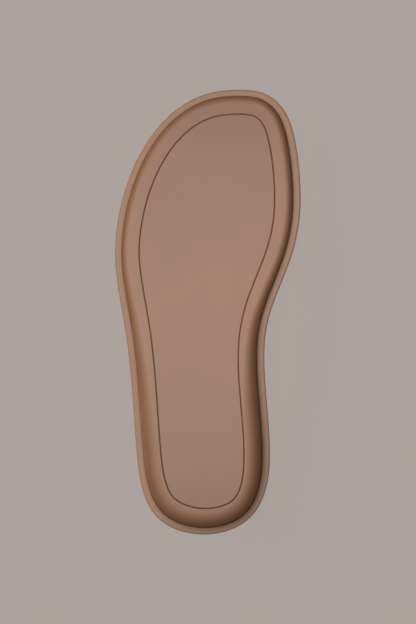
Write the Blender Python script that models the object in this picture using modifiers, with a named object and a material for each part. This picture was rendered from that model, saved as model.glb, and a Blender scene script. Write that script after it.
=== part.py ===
"""Ankle strap sandal for the right foot, lying on its medial side.

The pieces are modelled on a standing shoe, in millimetres: x runs from the
back of the heel to the toe, y towards the medial side and z up from the tread.
The outline of the sole drives every layer. A layer is that outline moved
inward, at a height that follows the wedge of the midsole and the toe spring.
One empty then lays the whole shoe on its side: the rim of the footbed touches
the floor at the ball and at the heel, and the ankle strap touches it too.
"""

import math
from collections import namedtuple

import bmesh
import bpy
import numpy as np
from mathutils import Matrix, Vector

MM = 0.001
CLEARANCE = 0.3

# Sole outline: half-widths from the shoe's long axis, by distance from the heel
LENGTH = 250.0
Section = namedtuple("Section", "x medial lateral")
SOLE_SECTIONS = (
    Section(11, 27.6, 27.2),
    Section(27, 35.4, 34.8),
    Section(47, 37.3, 37.7),
    Section(73, 35.7, 39.6),
    Section(98, 34.1, 41.7),
    Section(118, 35.7, 44.4),
    Section(138, 42.2, 47.8),
    Section(158, 49.7, 49.6),
    Section(180, 54.0, 47.4),
    Section(203, 53.8, 40.7),
    Section(223, 51.0, 30.1),
    Section(238, 45.5, 16.3),
    Section(247, 36.0, 0.4),
)
HEEL_BACK = (0.0, 1.0)
TOE_TIP = (LENGTH, 19.5)
STATIONS = 42
SPLINE_SAMPLES = 2400

# Sole layers
RIM_WIDTH, RIM_ARCH_MORE, RIM_TOE_LESS = 4.2, 0.35, 0.4
GROOVE_IN, GROOVE_ARCH_MORE, GROOVE_HEEL_MORE = 13.9, 0.5, 1.4
RIM_HEEL_TURN, GROOVE_HEEL_TURN = 0.7, 1.4
GROOVE_WIDTH = 0.6
TREAD_EDGE = 0.4
PANEL_THICK = 2.6
WEDGE_HEEL, WEDGE_BALL = 20.0, 8.0
WEDGE_FROM, WEDGE_TO = 30.0, 165.0
WALL_ROUND_SHARE = 0.45
TOE_LIFT, TOE_LIFT_FROM = 9.0, 165.0
HEEL_LIFT, HEEL_LIFT_TO = 2.0, 15.0

# Footbed and sock
BED_THICK = 8.5
BED_LOWER_EDGE, BED_UPPER_EDGE = 1.4, 2.4
SOCK_INSET, SOCK_RECESS, SOCK_PROUD = 9.6, 3.0, 0.4
SOCK_EDGE, SOCK_DISH, SOCK_DISH_WIDTH = 1.0, 1.2, 14.0

# Upper: walls, roots and the forms of the last
UPPER_WALL = 2.4
ROOT_DEPTH = 4.0
BAND_INSET = 4.5
BAND_REAR, BAND_REAR_SKEW, BAND_REAR_PEAK = 145.0, 5.0, 6.0
BAND_FRONT, BAND_FRONT_SKEW, BAND_FRONT_PEAK = 188.5, 3.5, -1.0
BAND_HEIGHT_REAR, BAND_HEIGHT_FRONT = 47.0, 36.0
BAND_MEDIAL_RISE = 0.10
ARCH_POWER = 2.35
BAND_ROWS, ARCH_STEPS = 6, 24

ANKLE_X, ANKLE_Y = 56.0, -0.3
ANKLE_HALF_LENGTH, ANKLE_HALF_WIDTH, ANKLE_POWER = 46.0, 27.2, 2.3
COUNTER_INSET, COUNTER_BULGE, COUNTER_BLEND = 5.6, 1.4, 45.0
COUNTER_TOP, COUNTER_END = 61.0, 3.0
COUNTER_FROM, COUNTER_TO = 8.0, 95.0
TURN_STEPS = 64
COUNTER_STEPS, COUNTER_ROWS = 25, 9
POCKET_EXTRA_STEP = 0.07

STRAP_WIDTH, STRAP_THICK = 15.0, 2.6
STRAP_BACK, STRAP_RISE = 55.0, 27.0
END_WIDTH, END_THICK = 14.0, 2.2
END_FROM, END_STEPS = -22, 13

# Buckle on the lateral side, in turn steps from the back of the heel
BUCKLE_TURN = -20.0
BUCKLE_LONG, BUCKLE_TALL, BUCKLE_CORNER, BUCKLE_WIRE = 17.0, 21.5, 3.5, 1.2
PRONG_RADIUS, PRONG_ROOT, PRONG_PAST = 0.9, 2.0, 2.6
KEEPER_TURN = -14.0
KEEPER_WIDTH, KEEPER_WALL, KEEPER_CORNER = 6.0, 1.2, 1.6

# Rest on the medial side
REST_ROLL_DEG = -96.58
REST_PITCH_DEG = -6.21

SOLE_TAN = (163, 131, 115)
RIM_TAN = (160, 127, 110)
SOCK_TAN = (176, 144, 122)
LEATHER_TAN = (150, 112, 90)
METAL_GOLD = (196, 164, 112)


def smooth(share):
    """Smooth step from 0 to 1: three share squared less two share cubed."""
    share = np.clip(share, 0.0, 1.0)
    return share * share * (3.0 - 2.0 * share)


def closed_spline(points, count):
    """Even samples in chord length of the closed cubic spline through the points."""
    points = np.asarray(points, float)
    after = np.roll(points, -1, axis=0)
    chord = np.linalg.norm(after - points, axis=1)
    slope = (after - points) / chord[:, None]
    size = len(points)
    here = np.arange(size)
    system = np.zeros((size, size))
    system[here, here] = 2.0 * (chord + np.roll(chord, 1))
    system[here, here - 1] = np.roll(chord, 1)
    system[here, (here + 1) % size] = chord
    bend = np.linalg.solve(system, 6.0 * (slope - np.roll(slope, 1, axis=0)))
    start = np.concatenate(([0.0], np.cumsum(chord)))
    along = np.linspace(0.0, start[-1], count, endpoint=False)
    span = np.searchsorted(start, along, side="right") - 1
    late = (along - start[span])[:, None]
    step = chord[span][:, None]
    early = step - late
    bend_a, bend_b = bend[span], bend[(span + 1) % size]
    return ((bend_a * early**3 + bend_b * late**3) / (6.0 * step)
            + (points[span] / step - bend_a * step / 6.0) * early
            + (after[span] / step - bend_b * step / 6.0) * late)


def outline_stations():
    """Outline points and outward normals: heel, medial side, toe, lateral side."""
    medial = [(row.x, row.medial) for row in SOLE_SECTIONS]
    lateral = [(row.x, -row.lateral) for row in reversed(SOLE_SECTIONS)]
    dense = closed_spline([HEEL_BACK] + medial + [TOE_TIP] + lateral, SPLINE_SAMPLES)
    dense = np.roll(dense, -int(np.argmin(dense[:, 0])), axis=0)
    along = np.roll(dense, -1, axis=0) - np.roll(dense, 1, axis=0)
    normals = np.column_stack((-along[:, 1], along[:, 0]))
    normals /= np.linalg.norm(normals, axis=1)[:, None]
    toe = int(np.argmax(dense[:, 0]))
    x = LENGTH * 0.5 * (1.0 - np.cos(np.pi * np.arange(STATIONS + 1) / STATIONS))
    table = np.column_stack((dense, normals))
    out = [np.interp(x, table[:toe + 1, 0], column) for column in table[:toe + 1].T]
    back = [np.interp(x[-2:0:-1], table[toe:][::-1, 0], column)
            for column in table[toe:][::-1].T]
    ring = np.column_stack([np.concatenate(pair) for pair in zip(out, back)])
    return ring[:, :2], ring[:, 2:] / np.linalg.norm(ring[:, 2:], axis=1)[:, None]


OUTLINE, OUTWARD = outline_stations()
AHEAD, BEHIND = np.maximum(OUTWARD[:, 0], 0.0), np.maximum(-OUTWARD[:, 0], 0.0)
RIM = (RIM_WIDTH + (RIM_ARCH_MORE - RIM_HEEL_TURN * BEHIND) * OUTWARD[:, 1]
       - RIM_TOE_LESS * AHEAD**2)
GROOVE = (GROOVE_IN + (GROOVE_ARCH_MORE - GROOVE_HEEL_TURN * BEHIND) * OUTWARD[:, 1]
          + GROOVE_HEEL_MORE * BEHIND**2)


def tread(x):
    """Height of the tread: flat from heel to ball, rising at the toe and the back."""
    toe = TOE_LIFT * (np.maximum(x - TOE_LIFT_FROM, 0.0) / (LENGTH - TOE_LIFT_FROM))**2
    heel = HEEL_LIFT * (np.maximum(HEEL_LIFT_TO - x, 0.0) / HEEL_LIFT_TO)**2
    return toe + heel


def wedge(x):
    """Depth of the midsole from the tread up to the footbed."""
    share = smooth((x - WEDGE_FROM) / (WEDGE_TO - WEDGE_FROM))
    return WEDGE_HEEL + (WEDGE_BALL - WEDGE_HEEL) * share


def bed_bottom(x):
    """Height of the underside of the footbed."""
    return tread(x) + wedge(x) + CLEARANCE


def bed_top(x):
    """Height of the top of the footbed's rim."""
    return bed_bottom(x) + BED_THICK


def layer(inset, height, raised=0.0):
    """The outline moved inward by inset, at height(x) plus raised."""
    plan = OUTLINE - OUTWARD * np.broadcast_to(inset, len(OUTLINE))[:, None]
    return np.column_stack((plan, height(plan[:, 0]) + raised))


def side_y(x, inset, side):
    """Sideways place of the outline moved inward, on the medial or lateral side."""
    plan = OUTLINE - OUTWARD * inset
    half = plan[:STATIONS + 1] if side > 0 else np.vstack((plan[:1], plan[:STATIONS - 1:-1]))
    return np.interp(x, half[:, 0], half[:, 1])


def new_object(name, vertices, faces, collection):
    """A mesh object from points in millimetres and their faces."""
    mesh = bpy.data.meshes.new(name)
    mesh.from_pydata((np.asarray(vertices) * MM).tolist(), [], faces)
    mesh.update()
    thing = bpy.data.objects.new(name, mesh)
    collection.objects.link(thing)
    return thing


def loft(name, rings, collection):
    """Closed body through rings of equal count, capped by rungs across both ends."""
    count = len(rings[0])
    half = count // 2
    faces = []
    for low in range(0, (len(rings) - 1) * count, count):
        for i in range(count):
            j = (i + 1) % count
            faces.append((low + i, low + j, low + count + j, low + count + i))
    for base in (0, (len(rings) - 1) * count):
        for i in range(half):
            rung = (base + i, base + i + 1, base + count - i - 1, base + (count - i) % count)
            faces.append(tuple(dict.fromkeys(rung)))
    body = new_object(name, np.vstack(rings), faces, collection)
    shell = bmesh.new()
    shell.from_mesh(body.data)
    bmesh.ops.recalc_face_normals(shell, faces=shell.faces[:])
    shell.to_mesh(body.data)
    shell.free()
    return body


def sheet(name, grid, wall, collection, around=False):
    """A wall of even thickness inside the surface through a grid of points."""
    rows, columns = grid.shape[:2]
    faces = []
    for i in range(rows - 1):
        for j in range(columns if around else columns - 1):
            k = (j + 1) % columns
            faces.append((i * columns + j, i * columns + k,
                          (i + 1) * columns + k, (i + 1) * columns + j))
    body = new_object(name, grid.reshape(-1, 3), faces, collection)
    solid = body.modifiers.new("wall", "SOLIDIFY")
    solid.thickness = wall * MM
    solid.offset = -1.0
    solid.use_even_offset = True
    return body


def cut(body, cutter):
    """Exact Boolean cut of the body by a cutter that stays out of sight."""
    cutter.hide_render = True
    cutter.display_type = "WIRE"
    pocket = body.modifiers.new(cutter.name, "BOOLEAN")
    pocket.operation = "DIFFERENCE"
    pocket.solver = "EXACT"
    pocket.object = cutter


def make_outsole(collection):
    """Tread panel laid into the midsole, flush with its band."""
    edge = GROOVE + GROOVE_WIDTH
    rings = [layer(edge + TREAD_EDGE, tread), layer(edge, tread, TREAD_EDGE),
             layer(edge, tread, PANEL_THICK)]
    return loft("outsole", rings, collection)


def make_midsole(collection):
    """Wedge with a recess for the panel and a quarter-ellipse wall up to the rim."""
    recess = PANEL_THICK + CLEARANCE
    rings = [layer(GROOVE, tread, recess), layer(GROOVE, tread, TREAD_EDGE)]
    for angle in np.radians((0.0, 22.5, 45.0, 67.5, 90.0)):
        plan = OUTLINE - OUTWARD * RIM[:, None]
        depth = wedge(plan[:, 0])
        inset = RIM + WALL_ROUND_SHARE * depth * (1.0 - math.sin(angle))
        rings.append(layer(inset, tread, depth * (1.0 - math.cos(angle))))
    rings.insert(2, layer(GROOVE - TREAD_EDGE, tread))
    return loft("midsole", rings, collection)


def make_footbed(collection):
    """Wrapped board with rounded edges and a shallow recess for the sock."""
    soft = 1.0 - math.sqrt(0.5)
    low, high = BED_LOWER_EDGE, BED_UPPER_EDGE
    rings = [layer(low, bed_bottom), layer(low * soft, bed_bottom, low * soft),
             layer(0.0, bed_bottom, low), layer(0.0, bed_top, -high),
             layer(high * soft, bed_top, -high * soft), layer(high, bed_top),
             layer(SOCK_INSET - CLEARANCE, bed_top),
             layer(SOCK_INSET - CLEARANCE, bed_top, -SOCK_RECESS)]
    return loft("footbed", rings, collection)


def make_insole(collection):
    """Sock that fills the recess, rounded at its edge and dished for the foot."""
    rings = [layer(SOCK_INSET, bed_top, CLEARANCE - SOCK_RECESS),
             layer(SOCK_INSET, bed_top, SOCK_PROUD - SOCK_EDGE),
             layer(SOCK_INSET + SOCK_EDGE, bed_top, SOCK_PROUD),
             layer(SOCK_INSET + SOCK_DISH_WIDTH, bed_top, SOCK_PROUD - SOCK_DISH)]
    return loft("insole", rings, collection)


def band_grid(grow=0.0):
    """Outer face of the vamp band: a superellipse arch from root to root.

    Seen from the toe, y is the middle plus the half-width times cos a to the
    power 2/n and z is the height times sin a to the power 2/n. The medial side
    is a little higher, as the instep is, and both roots run straight down.
    """
    angle = np.linspace(0.0, np.pi, ARCH_STEPS + 1)
    cosine, sine = np.cos(angle), np.maximum(np.sin(angle), 0.0)
    rear = BAND_REAR + BAND_REAR_SKEW * cosine + BAND_REAR_PEAK * sine - grow
    front = BAND_FRONT + BAND_FRONT_SKEW * cosine + BAND_FRONT_PEAK * sine + grow
    rows = []
    for share in np.linspace(0.0, 1.0, BAND_ROWS):
        x = rear + (front - rear) * share
        medial, lateral = side_y(x, BAND_INSET - grow, 1), side_y(x, BAND_INSET - grow, -1)
        middle, half = (medial + lateral) / 2.0, (medial - lateral) / 2.0
        y = middle + half * np.sign(cosine) * np.abs(cosine)**(2.0 / ARCH_POWER)
        rise = BAND_HEIGHT_REAR + (BAND_HEIGHT_FRONT - BAND_HEIGHT_REAR) * share + grow
        z = bed_top(x) + rise * sine**(2.0 / ARCH_POWER) * (1.0 + BAND_MEDIAL_RISE * cosine)
        row = np.column_stack((x, y, z))
        root = row[[0, -1]] - (0.0, 0.0, ROOT_DEPTH + grow)
        rows.append(np.vstack((root[:1], row, root[1:])))
    return np.array(rows)


def turn_angle(step):
    """Angle from the back of the heel, towards the medial side, of a turn step."""
    return 2.0 * np.pi * np.asarray(step) / TURN_STEPS


def ankle_radius(angle):
    """Distance from the ankle's axis to the strap's line: a superellipse."""
    power = ANKLE_POWER
    return (np.abs(np.cos(angle) / ANKLE_HALF_LENGTH)**power
            + np.abs(np.sin(angle) / ANKLE_HALF_WIDTH)**power)**(-1.0 / power)


def heel_radius(angle):
    """Distance from the ankle's axis to the foot of the heel counter."""
    plan = OUTLINE - OUTWARD * COUNTER_INSET
    plan = plan[plan[:, 0] < WEDGE_TO]
    turned = np.arctan2(plan[:, 1] - ANKLE_Y, ANKLE_X - plan[:, 0])
    order = np.argsort(turned)
    reach = np.hypot(plan[:, 0] - ANKLE_X, plan[:, 1] - ANKLE_Y)
    return np.interp(angle, turned[order], reach[order])


def around_ankle(angle, radius, height):
    """Points at an angle from the back of the heel and a distance from the axis."""
    return np.stack((ANKLE_X - radius * np.cos(angle),
                     ANKLE_Y + radius * np.sin(angle), height), axis=-1)


def counter_grid(grow=0.0):
    """Outer face of the heel counter, from its sloping edge down to its root.

    The wall starts on the footbed's line, swells by a half sine wave and turns
    smoothly into the strap's line. Its upper edge falls from back to front.
    """
    end = COUNTER_STEPS + (POCKET_EXTRA_STEP if grow else 0.0)
    angle = turn_angle(np.linspace(-end, end, 2 * COUNTER_STEPS + 1))
    foot, top = heel_radius(angle), ankle_radius(angle)
    x = ANKLE_X - foot * np.cos(angle)
    share = smooth((x - COUNTER_FROM) / (COUNTER_TO - COUNTER_FROM))
    edge = COUNTER_TOP + (COUNTER_END - COUNTER_TOP) * share
    rows = []
    for climb in np.concatenate(([-(ROOT_DEPTH + grow)], np.linspace(0.0, 1.0, COUNTER_ROWS))):
        level = climb * edge if climb > 0.0 else np.full_like(edge, climb)
        blend = smooth(level / COUNTER_BLEND)
        swell = COUNTER_BULGE * np.sin(np.pi * np.clip(level / COUNTER_BLEND, 0.0, 1.0))
        radius = foot + (top - foot) * blend + swell + grow
        rows.append(around_ankle(angle, radius, bed_top(x) + level))
    return np.array(rows[::-1])


def strap_level(angle):
    """Height of the strap's middle: low at the back, high over the instep."""
    return bed_top(HEEL_LIFT_TO) + STRAP_BACK + STRAP_RISE * (1.0 - np.cos(angle)) / 2.0


def strap_grid(angle, width, outer):
    """Face of a strap of this width, moved outward by outer from the strap's line.

    The way outward is the gradient of the superellipse, so every layer laid on
    the line keeps its thickness where the line runs aslant to the axis.
    """
    line = around_ankle(angle, ankle_radius(angle), strap_level(angle))
    reach = line[:, :2] - (ANKLE_X, ANKLE_Y)
    halves = np.array((ANKLE_HALF_LENGTH, ANKLE_HALF_WIDTH))
    outward = np.sign(reach) * np.abs(reach)**(ANKLE_POWER - 1.0) / halves**ANKLE_POWER
    line[:, :2] += outer * outward / np.linalg.norm(outward, axis=1)[:, None]
    rise = np.zeros_like(line)
    rise[:, 2] = width / 2.0
    return np.array((line + rise, line, line - rise))


STRAP_OUTER = CLEARANCE + STRAP_THICK
END_OUTER = STRAP_OUTER + CLEARANCE + END_THICK


def make_ankle_strap(collection):
    """Strap right round the ankle, laid over the top of the heel counter."""
    angle = turn_angle(np.arange(TURN_STEPS))
    grid = strap_grid(angle, STRAP_WIDTH, STRAP_OUTER)
    return sheet("ankle_strap", grid, STRAP_THICK, collection, around=True)


def make_strap_end(collection):
    """Free end of the strap, past the buckle, with a rounded tip."""
    step = END_FROM + np.arange(END_STEPS + 1.0)
    tip = np.clip((step - step[-1] + 2.0) / 2.0, 0.0, 0.9)
    width = END_WIDTH * np.sqrt(1.0 - tip * tip)
    grid = strap_grid(turn_angle(step), width, END_OUTER)
    return sheet("strap_end", grid, END_THICK, collection)


def strap_frame(step):
    """Axes on the strap's outside: along to the tip, up across it, and outward."""
    angle = turn_angle(np.array([step - 0.5, step, step + 0.5]))
    points = strap_grid(angle, 1.0, END_OUTER)
    along = Vector(points[1, 2] - points[1, 0]).normalized()
    up = Vector(points[0, 1] - points[2, 1]).normalized()
    outward = up.cross(along).normalized()
    up = along.cross(outward).normalized()
    frame = Matrix((along, up, outward)).transposed().to_4x4()
    frame.translation = Vector(points[1, 1])
    return frame


def rounded_rectangle(long, tall, corner, arc_steps):
    """Closed path of a rectangle with round corners, about its middle."""
    points = []
    for quarter in range(4):
        x_side = 1.0 if quarter in (0, 3) else -1.0
        y_side = 1.0 if quarter in (0, 1) else -1.0
        for k in range(arc_steps + 1):
            turn = math.pi / 2.0 * (quarter + k / arc_steps)
            points.append((x_side * (long / 2.0 - corner) + corner * math.cos(turn),
                           y_side * (tall / 2.0 - corner) + corner * math.sin(turn)))
    return points


def wire(name, points, radius, collection, closed=False):
    """Round wire along millimetre points."""
    path = bpy.data.curves.new(name, "CURVE")
    path.dimensions = "3D"
    path.bevel_depth = radius * MM
    path.bevel_resolution = 2
    path.use_fill_caps = True
    line = path.splines.new("POLY")
    line.points.add(len(points) - 1)
    line.use_cyclic_u = closed
    for target, point in zip(line.points, points):
        target.co = (*(Vector(point) * MM), 1.0)
    thing = bpy.data.objects.new(name, path)
    collection.objects.link(thing)
    return thing


def buckle_lift():
    """Height of the buckle's wire, lowered as the strap curves away from its middle."""
    side_curve = ANKLE_HALF_LENGTH**2 / ANKLE_HALF_WIDTH
    quarter_long = BUCKLE_LONG / 4.0
    return BUCKLE_WIRE + CLEARANCE - quarter_long**2 / (2.0 * side_curve)


def make_buckle_frame(collection):
    """Rounded rectangle of wire round the strap's free end."""
    frame = strap_frame(BUCKLE_TURN)
    outline = rounded_rectangle(BUCKLE_LONG - 2.0 * BUCKLE_WIRE,
                                BUCKLE_TALL - 2.0 * BUCKLE_WIRE, BUCKLE_CORNER, 4)
    points = [frame @ Vector((u, v, buckle_lift())) for u, v in outline]
    return wire("buckle_frame", points, BUCKLE_WIRE, collection, closed=True)


def make_buckle_prong(collection):
    """Prong from the strap's hole in the middle of the buckle over its front bar."""
    frame = strap_frame(BUCKLE_TURN)
    inner = BUCKLE_LONG / 2.0 - 2.0 * BUCKLE_WIRE - CLEARANCE
    low = PRONG_RADIUS + CLEARANCE
    over = buckle_lift() + BUCKLE_WIRE + CLEARANCE + PRONG_RADIUS
    route = ((PRONG_ROOT, low), (-inner * 0.2, low), (-inner * 0.75, over),
             (-inner - PRONG_PAST, over))
    points = [frame @ Vector((u, 0.0, w)) for u, w in route]
    return wire("buckle_prong", points, PRONG_RADIUS, collection)


def make_keeper_loop(collection):
    """Leather loop round the strap and its free end."""
    frame = strap_frame(KEEPER_TURN)
    deep = END_THICK + STRAP_THICK + 3.0 * CLEARANCE + 2.0 * KEEPER_WALL
    tall = STRAP_WIDTH + 2.0 * (CLEARANCE + KEEPER_WALL)
    middle = CLEARANCE + KEEPER_WALL - deep / 2.0
    outline = rounded_rectangle(deep, tall, KEEPER_CORNER, 3)
    grid = [[frame @ Vector((along, v, middle + w)) for w, v in outline]
            for along in (-KEEPER_WIDTH / 2.0, KEEPER_WIDTH / 2.0)]
    return sheet("keeper_loop", np.array(grid), KEEPER_WALL, collection, around=True)


def finish_material(thing, colour, roughness, metallic=0.0):
    """A plain surface of its own for one piece, from an sRGB colour of 0 to 255."""
    level = np.array(colour) / 255.0
    linear = np.where(level <= 0.04045, level / 12.92, ((level + 0.055) / 1.055)**2.4)
    surface = bpy.data.materials.new(thing.name + "_finish")
    surface.use_nodes = True
    shader = surface.node_tree.nodes["Principled BSDF"]
    shader.inputs["Base Color"].default_value = (*linear, 1.0)
    shader.inputs["Roughness"].default_value = roughness
    shader.inputs["Metallic"].default_value = metallic
    thing.data.materials.append(surface)


def lay_down(pieces, cutters):
    """Parent everything to one empty, turn the shoe onto its side and centre it."""
    rest = bpy.data.objects.new("rest_pose", None)
    bpy.context.scene.collection.objects.link(rest)
    rest.rotation_euler = (math.radians(REST_ROLL_DEG), math.radians(REST_PITCH_DEG), 0.0)
    for thing in pieces + cutters:
        thing.parent = rest
    bpy.context.view_layer.update()
    graph = bpy.context.evaluated_depsgraph_get()
    corners = []
    for piece in pieces:
        seen = piece.evaluated_get(graph)
        mesh = seen.to_mesh()
        corners += [seen.matrix_world @ vertex.co for vertex in mesh.vertices]
        seen.to_mesh_clear()
    low, high = np.min(corners, axis=0), np.max(corners, axis=0)
    rest.location = (-(low[0] + high[0]) / 2.0, -(low[1] + high[1]) / 2.0, -low[2])


def main():
    for thing in list(bpy.data.objects):
        bpy.data.objects.remove(thing)
    shoe = bpy.data.collections.new("ankle_strap_sandal")
    tools = bpy.data.collections.new("cutters")
    for group in (shoe, tools):
        bpy.context.scene.collection.children.link(group)

    outsole = make_outsole(shoe)
    midsole = make_midsole(shoe)
    footbed = make_footbed(shoe)
    insole = make_insole(shoe)
    vamp_band = sheet("vamp_band", band_grid(), UPPER_WALL, shoe)
    heel_counter = sheet("heel_counter", counter_grid(), UPPER_WALL, shoe)
    ankle_strap = make_ankle_strap(shoe)
    strap_end = make_strap_end(shoe)
    buckle_frame = make_buckle_frame(shoe)
    buckle_prong = make_buckle_prong(shoe)
    keeper_loop = make_keeper_loop(shoe)

    pocket_wall = UPPER_WALL + 2.0 * CLEARANCE
    band_pocket = sheet("band_pocket", band_grid(CLEARANCE), pocket_wall, tools)
    counter_pocket = sheet("counter_pocket", counter_grid(CLEARANCE), pocket_wall, tools)
    cut(footbed, band_pocket)
    cut(footbed, counter_pocket)

    finish_material(outsole, SOLE_TAN, 0.6)
    finish_material(midsole, SOLE_TAN, 0.55)
    finish_material(footbed, RIM_TAN, 0.5)
    finish_material(insole, SOCK_TAN, 0.7)
    for piece in (vamp_band, heel_counter, ankle_strap, strap_end, keeper_loop):
        finish_material(piece, LEATHER_TAN, 0.5)
    for piece in (buckle_frame, buckle_prong):
        finish_material(piece, METAL_GOLD, 0.3, metallic=1.0)

    pieces = [outsole, midsole, footbed, insole, vamp_band, heel_counter, ankle_strap,
              strap_end, buckle_frame, buckle_prong, keeper_loop]
    lay_down(pieces, [band_pocket, counter_pocket])


main()
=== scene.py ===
# %% [markdown]
# # A right ankle strap sandal, seen from below
# The sandal lies on the side of its arch, so its underside faces the camera. The
# solids of the frame are faceted and plain. This lesson dresses them: it works out
# the same forms again as fine surfaces, from the same few sizes, and gives each one
# the finish of its own material.

# %% Load the frame
import math

import bmesh
import bpy
import numpy as np
from mathutils import Matrix, Vector


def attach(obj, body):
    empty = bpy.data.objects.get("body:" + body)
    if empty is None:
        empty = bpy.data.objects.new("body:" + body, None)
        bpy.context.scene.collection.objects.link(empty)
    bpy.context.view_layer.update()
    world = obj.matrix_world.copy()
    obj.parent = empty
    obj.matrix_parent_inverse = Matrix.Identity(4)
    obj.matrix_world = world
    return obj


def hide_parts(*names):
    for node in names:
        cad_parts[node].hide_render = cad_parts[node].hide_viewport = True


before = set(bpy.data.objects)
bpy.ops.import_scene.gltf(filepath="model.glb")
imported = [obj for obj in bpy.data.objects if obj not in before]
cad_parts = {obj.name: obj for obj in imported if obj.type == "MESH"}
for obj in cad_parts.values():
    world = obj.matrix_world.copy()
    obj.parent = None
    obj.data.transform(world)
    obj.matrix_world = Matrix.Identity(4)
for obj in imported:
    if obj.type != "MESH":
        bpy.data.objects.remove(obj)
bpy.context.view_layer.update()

print("frame nodes:", ", ".join(sorted(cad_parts)))

# %% [markdown]
# ## The outline of the sole
# A sole is drawn as one closed outline, and every layer of it follows that line at
# its own distance. The outline could be traced point by point, but a short table of
# half-widths is easier to read and to change: a closed cubic spline through it gives
# the smooth curve that a pattern cutter would draw.

# %% Half-widths of the sole, in millimetres from the heel and from the long axis
LENGTH = 250.0
SOLE_SECTIONS = (
    # x, medial, lateral
    (11, 27.6, 27.2), (27, 35.4, 34.8), (47, 37.3, 37.7), (73, 35.7, 39.6),
    (98, 34.1, 41.7), (118, 35.7, 44.4), (138, 42.2, 47.8), (158, 49.7, 49.6),
    (180, 54.0, 47.4), (203, 53.8, 40.7), (223, 51.0, 30.1), (238, 45.5, 16.3),
    (247, 36.0, 0.4),
)
HEEL_BACK = (0.0, 1.0)
TOE_TIP = (LENGTH, 19.5)
SPLINE_SAMPLES = 6000
CAD_STATIONS = 42
FINE_STATIONS = 230


def unit(vectors):
    """Vectors of length one along the last axis."""
    return vectors / np.linalg.norm(vectors, axis=-1, keepdims=True)


def closed_spline(points, count):
    """Samples of the closed cubic spline through the points, even in chord length.

    The bend at each point comes from one linear system: the slopes of neighbouring
    spans have to agree where they meet.
    """
    points = np.asarray(points, float)
    after = np.roll(points, -1, axis=0)
    chord = np.linalg.norm(after - points, axis=1)
    slope = (after - points) / chord[:, None]
    size = len(points)
    here = np.arange(size)
    system = np.zeros((size, size))
    system[here, here] = 2.0 * (chord + np.roll(chord, 1))
    system[here, here - 1] = np.roll(chord, 1)
    system[here, (here + 1) % size] = chord
    bend = np.linalg.solve(system, 6.0 * (slope - np.roll(slope, 1, axis=0)))
    start = np.concatenate(([0.0], np.cumsum(chord)))
    along = np.linspace(0.0, start[-1], count, endpoint=False)
    span = np.searchsorted(start, along, side="right") - 1
    late = (along - start[span])[:, None]
    step = chord[span][:, None]
    early = step - late
    bend_a, bend_b = bend[span], bend[(span + 1) % size]
    return ((bend_a * early**3 + bend_b * late**3) / (6.0 * step)
            + (points[span] / step - bend_a * step / 6.0) * early
            + (after[span] / step - bend_b * step / 6.0) * late)


def outline_stations(stations):
    """Outline points and outward normals: heel, medial side, toe, lateral side.

    Stations lie at x = length times (1 - cos) / 2, closest where the ends turn.
    """
    medial = [(x, wide) for x, wide, _ in SOLE_SECTIONS]
    lateral = [(x, -wide) for x, _, wide in reversed(SOLE_SECTIONS)]
    dense = closed_spline([HEEL_BACK] + medial + [TOE_TIP] + lateral, SPLINE_SAMPLES)
    dense = np.roll(dense, -int(np.argmin(dense[:, 0])), axis=0)
    along = np.roll(dense, -1, axis=0) - np.roll(dense, 1, axis=0)
    normals = unit(np.column_stack((-along[:, 1], along[:, 0])))
    toe = int(np.argmax(dense[:, 0]))
    x = LENGTH * 0.5 * (1.0 - np.cos(np.pi * np.arange(stations + 1) / stations))
    table = np.column_stack((dense, normals))
    out = [np.interp(x, table[:toe + 1, 0], column) for column in table[:toe + 1].T]
    back = [np.interp(x[-2:0:-1], table[toe:][::-1, 0], column)
            for column in table[toe:][::-1].T]
    ring = np.column_stack([np.concatenate(pair) for pair in zip(out, back)])
    return ring[:, :2], unit(ring[:, 2:])


OUTLINE, OUTWARD = outline_stations(FINE_STATIONS)
print("outline:", len(OUTLINE), "points, widest", round(float(np.ptp(OUTLINE[:, 1])), 1), "mm")

# %% [markdown]
# ## From the standing shoe to the floor
# It is far easier to model a shoe that stands: x to the toe, y to the arch side, z
# up. Two turns and one shift then lay it on its side. The turns are the part's own
# rest angles, and the shift is read back from the frame's solids, so that every new
# surface lands exactly on the solid that it stands for.

# %% The turn and the shift of the rest pose
MM = 0.001
REST_ROLL_DEG = -96.58
REST_PITCH_DEG = -6.21


def turn_about(axis, degrees):
    """3 by 3 turn about the x or the y axis."""
    return np.array(Matrix.Rotation(math.radians(degrees), 3, axis))


TURN = turn_about("Y", REST_PITCH_DEG) @ turn_about("X", REST_ROLL_DEG)


def node_in_shoe(name):
    """Points of a solid, turned back to the shoe's own axes, in millimetres."""
    points = np.empty(len(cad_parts[name].data.vertices) * 3)
    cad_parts[name].data.vertices.foreach_get("co", points)
    return points.reshape(-1, 3) / MM @ TURN


cad_outline = outline_stations(CAD_STATIONS)[0]
bed, tread_solid = node_in_shoe("footbed"), node_in_shoe("outsole")
SHIFT = np.array((bed[:, 0].min() - cad_outline[:, 0].min(),
                  bed[:, 1].max() - cad_outline[:, 1].max(),
                  tread_solid[:, 2].min()))


def to_world(points):
    """Shoe millimetres to world metres: shift, then turn."""
    return (np.asarray(points, float) + SHIFT) @ TURN.T * MM


def direction(vector):
    """A direction of the shoe, turned into the world."""
    return Vector(TURN @ np.asarray(vector, float))


print("shift in the shoe's axes, mm:", SHIFT.round(2))

# %% [markdown]
# ## Heights of the sole's layers
# The tread is flat from heel to ball and springs up at the toe. The midsole is a
# wedge: deep at the heel, thin at the ball, and its depth follows one smooth step.
# The sizes and the formulas are the ones of the solids, so nothing has to be fitted.

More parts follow.
